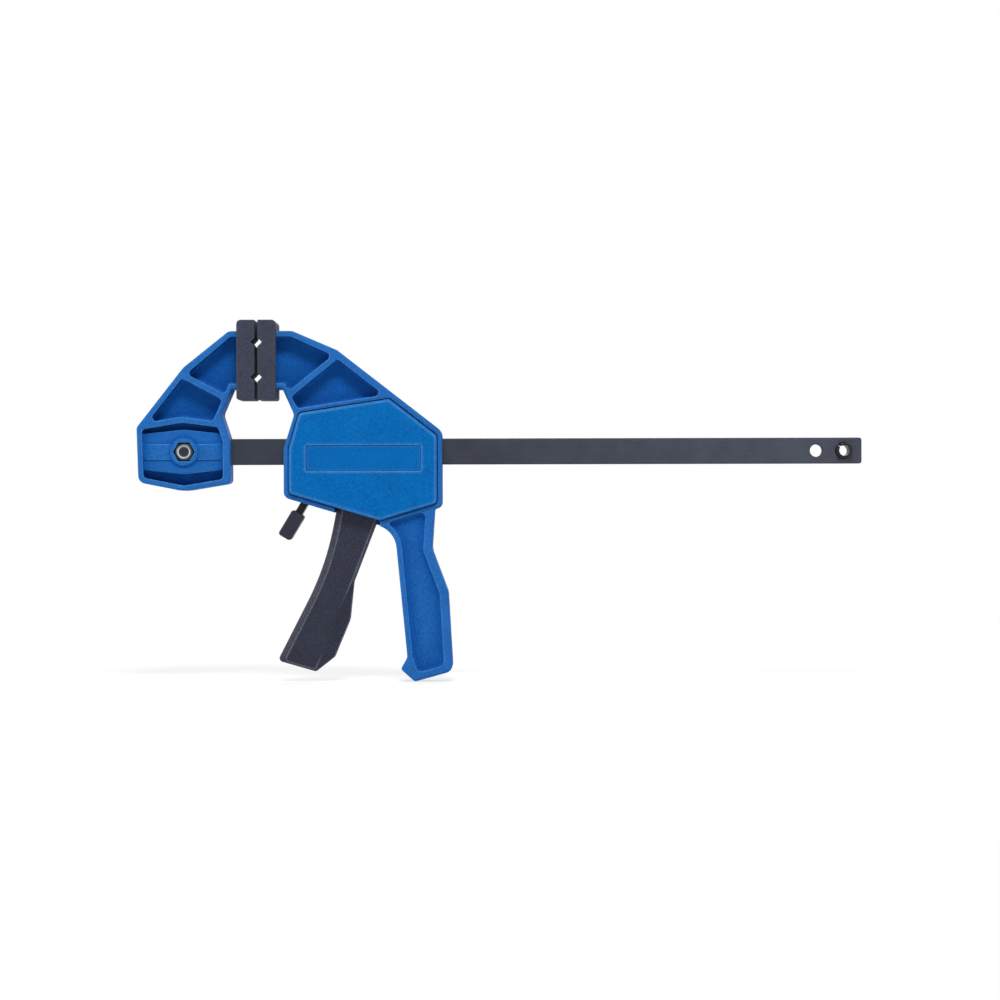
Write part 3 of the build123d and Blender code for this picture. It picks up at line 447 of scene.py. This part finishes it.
def bare_metal(name, colour, edge, roughness, grain):
    """Plated or bare steel: a metal dulled by fine scratches and passivation, with a painted highlight along its
    edges and painted shade where other pieces are close to it. Grain is the spacing of the scratched patches."""
    material, tree = blank_material(name)
    place = add(tree, "ShaderNodeTexCoord").outputs["Object"]
    scratch = add(tree, "ShaderNodeTexNoise", {
        "Vector": place, "Scale": 1 / grain, "Detail": 4.0, "Roughness": 0.65,
    }).outputs[0]
    rough = add(tree, "ShaderNodeMapRange", {
        0: scratch, 1: 0.3, 2: 0.7, 3: roughness - 0.08, 4: roughness + 0.1,
    }).outputs[0]
    dull = tuple(METAL_DULL * c for c in colour)
    share = add(tree, "ShaderNodeMapRange", {0: scratch, 1: 0.3, 2: 0.75}).outputs[0]
    scratched = add(tree, "ShaderNodeMix", {
        0: share, 6: (*colour, 1), 7: (*dull, 1),
    }, data_type="RGBA").outputs[2]
    # Painted highlight: bright edges where nothing is close by.
    rounded, near_edge = find_edges(tree, METAL_EDGE)
    open_share = add(tree, "ShaderNodeAmbientOcclusion", {"Distance": SHADE_REACH}, samples=12).outputs["AO"]
    bright = add(tree, "ShaderNodeMath", {0: near_edge, 1: open_share}, operation="MULTIPLY").outputs[0]
    edged = add(tree, "ShaderNodeMix", {0: bright, 6: scratched, 7: (*edge, 1)}, data_type="RGBA").outputs[2]
    # Painted shade: darker where other pieces or the piece's own walls are close by.
    shade_factor = add(tree, "ShaderNodeMapRange", {0: open_share, 1: 0.1, 2: 0.7, 3: 0.35, 4: 1.0}).outputs[0]
    mixed = add(tree, "ShaderNodeVectorMath", {0: edged, 3: shade_factor}, operation="SCALE").outputs[0]
    relief = add(tree, "ShaderNodeBump", {
        "Strength": 0.2, "Distance": SCRATCH_DEPTH, "Height": scratch, "Normal": rounded,
    }).outputs[0]
    shader = add(tree, "ShaderNodeBsdfPrincipled", {
        "Base Color": mixed, "Metallic": 1.0, "Roughness": rough, "Normal": relief,
    })
    add(tree, "ShaderNodeOutputMaterial", {0: shader.outputs[0]})
    return material


def dress(material, *nodes):
    """Gives CAD nodes a material and shades their rounded edges smoothly."""
    for name in nodes:
        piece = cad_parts[name]
        piece.data.materials.clear()
        piece.data.materials.append(material)
        piece.data.shade_smooth()
        weld = piece.modifiers.new("Weld", "WELD")
        weld.merge_threshold = MERGE
        split = piece.modifiers.new("Edge split", "EDGE_SPLIT")
        split.split_angle = SHARP
        even = piece.modifiers.new("Weighted normal", "WEIGHTED_NORMAL")
        even.mode = "FACE_AREA"
        even.weight = FACE_WEIGHT


class BARCLAMP_OT_blue_mouldings(bpy.types.Operator):
    """Gives the jaws, the carriage and its cover their blue moulded finish"""

    bl_idname = "bar_clamp.blue_mouldings"
    bl_label = "Blue mouldings"

    def execute(self, context):
        settings = context.scene.bar_clamp.moulding
        # Nylon from a textured mould is matt: a strong, even blue with hardly any gloss.
        # Its pockets get painted shade, and its edges pale lines of wear and painted highlight.
        nylon = moulded(
            "Moulded nylon, blue", (settings.blue, settings.blue_shaded, settings.blue_wear_and_highlight), settings,
            roughness=0.55, level=0.05, edge_width=settings.edge)
        dress(nylon, "fixed_jaw", "carriage_housing")
        # The cover is a moulding of its own, brighter, with pale edges of wear and painted highlight and a broad
        # painted highlight along its rounded edge.
        low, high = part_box("trigger_pin")
        nylon = moulded(
            "Moulded nylon, bright blue", (settings.cover, settings.cover_shaded, settings.blue_wear_and_highlight), settings,
            roughness=0.55, level=0.06, edge_width=settings.broad_edge, edge_wear_and_highlight=(0.5, 0.95), spot=(low + high) / 2)
        dress(nylon, "carriage_cover")
        return {"FINISHED"}


class BARCLAMP_OT_levers(bpy.types.Operator):
    """Gives the trigger and the release grip their black finish, and the lock nut's ring its natural one"""

    bl_idname = "bar_clamp.levers"
    bl_label = "Trigger, release grip and nut ring"

    def execute(self, context):
        settings = context.scene.bar_clamp.moulding
        # Black nylon shows its grain as grey specks; its bevels get pale lines, partly wear and partly painted
        # highlight, and its corners painted shade.
        nylon = moulded(
            "Moulded nylon, black", (settings.black, settings.black_shaded, settings.black_wear_and_highlight), settings,
            roughness=0.55, level=0.15, edge_width=settings.broad_edge, speck=(0.6, 1.35), edge_wear_and_highlight=(0.35, 0.8))
        dress(nylon, "trigger")
        # The release grip is smoother and less worn, so it is darker, with a faint gloss.
        # Its edges get the trigger's black, partly wear and partly painted highlight.
        nylon = moulded(
            "Moulded nylon, deep black", (settings.release, settings.release, settings.black), settings,
            roughness=0.5, level=0.2, edge_width=settings.edge)
        dress(nylon, "release_grip")
        # Nylon without a dye is off-white and a little waxy.
        nylon = moulded(
            "Moulded nylon, natural", (settings.natural, settings.natural, settings.natural), settings,
            roughness=0.5, level=0.3, edge_width=settings.edge)
        dress(nylon, "nut_insert")
        return {"FINISHED"}


class BARCLAMP_OT_pads(bpy.types.Operator):
    """Gives the jaw pads their soft rubber finish"""

    bl_idname = "bar_clamp.pads"
    bl_label = "Jaw pads"

    def execute(self, context):
        settings = context.scene.bar_clamp.moulding
        # Moulded rubber is a dull dark grey that mirrors nothing.
        # Its grooves get painted shade, and its edges pale lines of wear and painted highlight.
        rubber = moulded(
            "Moulded rubber, dark grey", (settings.rubber, settings.rubber_shaded, settings.rubber_wear_and_highlight), settings,
            roughness=0.7, level=0.15, edge_width=settings.edge)
        dress(rubber, "fixed_pad", "moving_pad")
        return {"FINISHED"}


class BARCLAMP_OT_bar(bpy.types.Operator):
    """Gives the bar, its stop pin and the brake lever their blackened finish"""

    bl_idname = "bar_clamp.bar"
    bl_label = "Bar, stop pin and brake lever"

    def execute(self, context):
        settings = context.scene.bar_clamp.metal
        # The bar's dry film is a dull blue-grey.
        film = (settings.blackened, settings.blackened_worn, settings.oxide)
        dress(rolled_steel("Black oxide steel, rolled", film, settings), "bar")
        # Oil makes the same film nearly black.
        film = (settings.oxide, settings.oxide, settings.oxide)
        dress(rolled_steel("Black oxide steel, oiled", film, settings), "stop_pin", "brake_lever")
        return {"FINISHED"}


class BARCLAMP_OT_fasteners(bpy.types.Operator):
    """Gives the bolt, washer, nut and screws their zinc plating"""

    bl_idname = "bar_clamp.fasteners"
    bl_label = "Fasteners"

    def execute(self, context):
        settings = context.scene.bar_clamp.metal
        # Fresh plating is a grey metal with a soft shine, with painted highlights along its edges.
        zinc = bare_metal(
            "Zinc-plated steel", settings.zinc, settings.zinc_highlight, roughness=0.3, grain=PLATING_GRAIN)
        dress(zinc, "bolt_washer", "cover_screws")
        # The bolt gets a darker copy of the zinc.
        dull = bare_metal(
            "Zinc-plated steel, dull", settings.zinc_dark, settings.zinc, roughness=0.36, grain=PLATING_GRAIN)
        dress(dull, "jaw_bolt")
        # Spanners have scuffed the nut, so it shines broadly and its edges aren't bright.
        scuffed = bare_metal(
            "Zinc-plated steel, scuffed", settings.zinc, settings.zinc, roughness=0.45, grain=PLATING_GRAIN)
        dress(scuffed, "jaw_nut")
        return {"FINISHED"}


class BARCLAMP_OT_mechanism(bpy.types.Operator):
    """Gives the drive plates and the trigger's pin their bare steel"""

    bl_idname = "bar_clamp.mechanism"
    bl_label = "Plates and pin"

    def execute(self, context):
        settings = context.scene.bar_clamp.metal
        # Cold-rolled steel under oil is a plain grey metal with a soft shine.
        # Its edges get painted highlights.
        steel = bare_metal(
            "Cold-rolled steel, oiled", settings.spring_steel, settings.zinc_highlight,
            roughness=0.36, grain=PLATE_GRAIN)
        dress(steel, "drive_plate_front", "drive_plate_rear", "trigger_pin")
        return {"FINISHED"}


def spring_tree(material):
    """Geometry nodes for a compression spring along X, with a closed turn at each end."""
    tree = bpy.data.node_groups.new("Wound spring", "GeometryNodeTree")
    for name, kind in (
        ("Start", "NodeSocketVector"), ("Length", "NodeSocketFloat"), ("Mean radius", "NodeSocketFloat"),
        ("Wire", "NodeSocketFloat"), ("Turns", "NodeSocketFloat"), ("Sides", "NodeSocketInt"),
    ):
        tree.interface.new_socket(name, in_out="INPUT", socket_type=kind)
    tree.interface.new_socket("Spring", in_out="OUTPUT", socket_type="NodeSocketGeometry")
    given = add(tree, "NodeGroupInput").outputs
    spiral = add(tree, "GeometryNodeCurveSpiral", {
        "Resolution": POINTS_PER_TURN, "Rotations": given["Turns"], "Start Radius": given["Mean radius"],
        "End Radius": given["Mean radius"], "Height": given["Length"],
    }).outputs[0]
    along = add(tree, "GeometryNodeSplineParameter").outputs["Factor"]
    end = add(tree, "ShaderNodeMath", {0: 1.0, 1: given["Turns"]}, operation="DIVIDE").outputs[0]
    far = add(tree, "ShaderNodeMath", {0: 1.0, 1: end}, operation="SUBTRACT").outputs[0]
    closed = add(tree, "ShaderNodeMath", {0: given["Wire"], 1: CLOSED_PITCH}, operation="MULTIPLY").outputs[0]
    open_run = add(tree, "ShaderNodeMath", {
        0: closed, 1: -2.0, 2: given["Length"],
    }, operation="MULTIPLY_ADD").outputs[0]
    run = add(tree, "ShaderNodeMath", {0: open_run, 1: given["Wire"]}, operation="SUBTRACT").outputs[0]
    first = add(tree, "ShaderNodeMapRange", {0: along, 1: 0.0, 2: end, 3: 0.0, 4: closed}).outputs[0]
    middle = add(tree, "ShaderNodeMapRange", {0: along, 1: end, 2: far, 3: 0.0, 4: run}).outputs[0]
    last = add(tree, "ShaderNodeMapRange", {0: along, 1: far, 2: 1.0, 3: 0.0, 4: closed}).outputs[0]
    both = add(tree, "ShaderNodeMath", {0: first, 1: middle}, operation="ADD").outputs[0]
    height = add(tree, "ShaderNodeMath", {0: both, 1: last}, operation="ADD").outputs[0]
    raised = add(tree, "ShaderNodeMath", {
        0: given["Wire"], 1: 0.5, 2: height,
    }, operation="MULTIPLY_ADD").outputs[0]
    position = add(tree, "GeometryNodeInputPosition").outputs[0]
    point = add(tree, "ShaderNodeSeparateXYZ", {0: position}).outputs
    place = add(tree, "ShaderNodeCombineXYZ", {0: raised, 1: point[0], 2: point[1]}).outputs[0]
    laid = add(tree, "GeometryNodeSetPosition", {"Geometry": spiral, "Position": place}).outputs[0]
    moved = add(tree, "GeometryNodeTransform", {"Geometry": laid, "Translation": given["Start"]}).outputs[0]
    half = add(tree, "ShaderNodeMath", {0: given["Wire"], 1: 0.5}, operation="MULTIPLY").outputs[0]
    section = add(tree, "GeometryNodeCurvePrimitiveCircle", {
        "Resolution": given["Sides"], "Radius": half,
    }).outputs[0]
    wire = add(tree, "GeometryNodeCurveToMesh", {
        "Curve": moved, "Profile Curve": section, "Fill Caps": True,
    }).outputs[0]
    smooth = add(tree, "GeometryNodeSetShadeSmooth", {"Geometry": wire}).outputs[0]
    whole = add(tree, "GeometryNodeRealizeInstances", {"Geometry": smooth}).outputs[0]
    coated = add(tree, "GeometryNodeSetMaterial", {"Geometry": whole, "Material": material}).outputs[0]
    add(tree, "NodeGroupOutput", {0: coated})
    return tree


def wind(name, tree, sizes):
    """Runs the spring tree with these sizes and keeps its result as a plain mesh."""
    blank = bpy.data.meshes.new(name)
    maker = bpy.data.objects.new(name, blank)
    bpy.context.scene.collection.objects.link(maker)
    modifier = maker.modifiers.new("Wound spring", "NODES")
    modifier.node_group = tree
    for item in tree.interface.items_tree:
        if item.in_out == "INPUT" and item.name in sizes:
            modifier[item.identifier] = sizes[item.name]
    bpy.context.view_layer.update()
    ready = maker.evaluated_get(bpy.context.evaluated_depsgraph_get())
    mesh = bpy.data.meshes.new_from_object(ready)
    maker.modifiers.remove(modifier)
    maker.data = mesh
    return maker


class BARCLAMP_OT_springs(bpy.types.Operator):
    """Winds the drive spring and the brake spring"""

    bl_idname = "bar_clamp.springs"
    bl_label = "Springs"

    def execute(self, context):
        sizes = context.scene.bar_clamp.spring
        metal = context.scene.bar_clamp.metal
        # Drawn wire is smooth, so it shines along its turns.
        # Its edges get painted highlights.
        steel = bare_metal(
            "Spring steel, drawn", metal.spring_steel, metal.zinc_highlight, roughness=0.3, grain=WIRE_GRAIN)
        tree = spring_tree(steel)
        for node, wire, turns, joint, travel in (
            ("drive_spring", sizes.drive_wire, sizes.drive_turns, "drive_slide", DRIVE_TRAVEL),
            ("brake_spring", sizes.brake_wire, sizes.brake_turns, "brake_release", BRAKE_TRAVEL),
        ):
            low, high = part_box(node)
            length = high.x - low.x
            spring = wind(node + "_coil", tree, {
                "Start": (low.x, (low.y + high.y) / 2, (low.z + high.z) / 2),
                "Length": length,
                "Mean radius": (high.z - low.z - wire) / 2,
                "Wire": wire,
                "Turns": turns,
                "Sides": sizes.sides,
            })
            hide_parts(node)
            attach(spring, "carriage")
            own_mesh(spring)
        return {"FINISHED"}


def lamp(name, place, target, size, power):
    """A soft rectangular lamp that faces a target."""
    data = bpy.data.lights.new(name, "AREA")
    data.shape = "RECTANGLE"
    data.size, data.size_y = size
    data.energy = power
    light = bpy.data.objects.new(name, data)
    bpy.context.scene.collection.objects.link(light)
    light.location = place
    light.rotation_euler = (Vector(target) - Vector(place)).to_track_quat("-Z", "Y").to_euler()


class BARCLAMP_OT_stage(bpy.types.Operator):
    """Sets up the camera, the lamps, the floor and the white surroundings"""

    bl_idname = "bar_clamp.stage"
    bl_label = "Stage"

    def execute(self, context):
        settings = context.scene.bar_clamp.stage
        scene = context.scene
        scene.view_settings.view_transform = "Standard"
        middle = (cad_box[0] + cad_box[1]) / 2
        self.surroundings(scene, settings)
        self.floor(scene, settings, middle)
        # Each lamp has its place from the clamp's middle and its width and height, all in metres.
        for name, place, size, power in (
            ("Top", (0.0, -0.85, 1.3), (0.6, 0.35), settings.top),
            ("Left", (-2.0, -0.3, 0.5), (0.7, 0.9), settings.side),
            ("Right", (1.9, -0.6, 0.5), (0.7, 0.9), settings.fill),
            ("Back", (0.3, 1.4, 1.0), (1.4, 0.9), settings.back),
        ):
            lamp(name, middle + Vector(place), middle, size, power)
        data = bpy.data.cameras.new("Camera")
        data.lens = settings.lens
        camera = bpy.data.objects.new("Camera", data)
        scene.collection.objects.link(camera)
        turn = Euler((math.radians(90), 0, 0)).to_matrix() @ Matrix.Rotation(settings.roll, 3, "Z")
        camera.location = settings.eye
        camera.rotation_euler = turn.to_euler()
        scene.camera = camera
        return {"FINISHED"}

    def surroundings(self, scene, settings):
        """Even light from all round, which is plain white where it is seen or mirrored."""
        world = bpy.data.worlds.new("Studio")
        world.use_nodes = True
        tree = world.node_tree
        tree.nodes.clear()
        ray = add(tree, "ShaderNodeLightPath").outputs
        seen = add(tree, "ShaderNodeMath", {
            0: ray["Is Camera Ray"], 1: ray["Is Glossy Ray"],
        }, operation="MAXIMUM").outputs[0]
        seen = add(tree, "ShaderNodeMath", {
            0: seen, 1: ray["Is Transmission Ray"],
        }, operation="MAXIMUM").outputs[0]
        strength = add(tree, "ShaderNodeMapRange", {0: seen, 3: settings.ambient, 4: 1.0}).outputs[0]
        light = add(tree, "ShaderNodeBackground", {"Color": WHITE, "Strength": strength})
        add(tree, "ShaderNodeOutputWorld", {0: light.outputs[0]})
        scene.world = world

    def floor(self, scene, settings, middle):
        """A matt paper floor that takes the clamp's shadow and fades to plain white away from it."""
        material, tree = blank_material("Paper floor")
        matt = add(tree, "ShaderNodeBsdfDiffuse", {"Color": (*settings.floor, 1)})
        white = add(tree, "ShaderNodeEmission", {"Color": WHITE, "Strength": 1.0})
        place = add(tree, "ShaderNodeTexCoord").outputs["Object"]
        away = add(tree, "ShaderNodeVectorMath", {
            0: place, 1: (middle.x, 0, cad_box[0].z),
        }, operation="DISTANCE").outputs["Value"]
        fade = add(tree, "ShaderNodeMapRange", {
            0: away, 1: settings.floor_near, 2: settings.floor_far, 3: settings.floor_white, 4: 1.0,
        }, interpolation_type="SMOOTHSTEP").outputs[0]
        ray = add(tree, "ShaderNodeLightPath").outputs
        share = add(tree, "ShaderNodeMath", {0: ray["Is Camera Ray"], 1: fade}, operation="MULTIPLY").outputs[0]
        both = add(tree, "ShaderNodeMixShader", {0: share, 1: matt.outputs[0], 2: white.outputs[0]})
        add(tree, "ShaderNodeOutputMaterial", {0: both.outputs[0]})
        level = cad_box[0].z - FLOOR_DROP
        mesh = bpy.data.meshes.new("Floor")
        corners = [
            (middle.x + x * FLOOR_HALF, y * FLOOR_HALF, level) for x, y in ((-1, -1), (1, -1), (1, 1), (-1, 1))]
        mesh.from_pydata(corners, [], [(0, 1, 2, 3)])
        mesh.materials.append(material)
        floor = bpy.data.objects.new("Floor", mesh)
        scene.collection.objects.link(floor)


class BARCLAMP_PT_sidebar(bpy.types.Panel):
    """Lists the steps that dress the clamp"""

    bl_idname = "BARCLAMP_PT_sidebar"
    bl_label = "Bar clamp"
    bl_space_type = "VIEW_3D"
    bl_region_type = "UI"
    bl_category = "Bar clamp"

    def draw(self, context):
        for operator in operators:
            self.layout.operator(operator.bl_idname)
        settings = context.scene.bar_clamp
        for group in (settings.moulding, settings.metal, settings.spring, settings.stage):
            box = self.layout.box()
            for name in group.__annotations__:
                box.prop(group, name)


groups = (MouldingSettings, MetalSettings, SpringSettings, StageSettings, ClampSettings)
operators = (
    BARCLAMP_OT_blue_mouldings,
    BARCLAMP_OT_levers,
    BARCLAMP_OT_pads,
    BARCLAMP_OT_bar,
    BARCLAMP_OT_fasteners,
    BARCLAMP_OT_mechanism,
    BARCLAMP_OT_springs,
    BARCLAMP_OT_stage,
)
classes = groups + operators + (BARCLAMP_PT_sidebar,)


def register():
    for kind in classes:
        bpy.utils.register_class(kind)
    bpy.types.Scene.bar_clamp = PointerProperty(type=ClampSettings)


def unregister():
    del bpy.types.Scene.bar_clamp
    for kind in reversed(classes):
        bpy.utils.unregister_class(kind)


def main():
    register()
    bpy.ops.bar_clamp.blue_mouldings()
    bpy.ops.bar_clamp.levers()
    bpy.ops.bar_clamp.pads()
    bpy.ops.bar_clamp.bar()
    bpy.ops.bar_clamp.fasteners()
    bpy.ops.bar_clamp.mechanism()
    bpy.ops.bar_clamp.springs()
    bpy.ops.bar_clamp.stage()


if __name__ == "__main__":
    main()
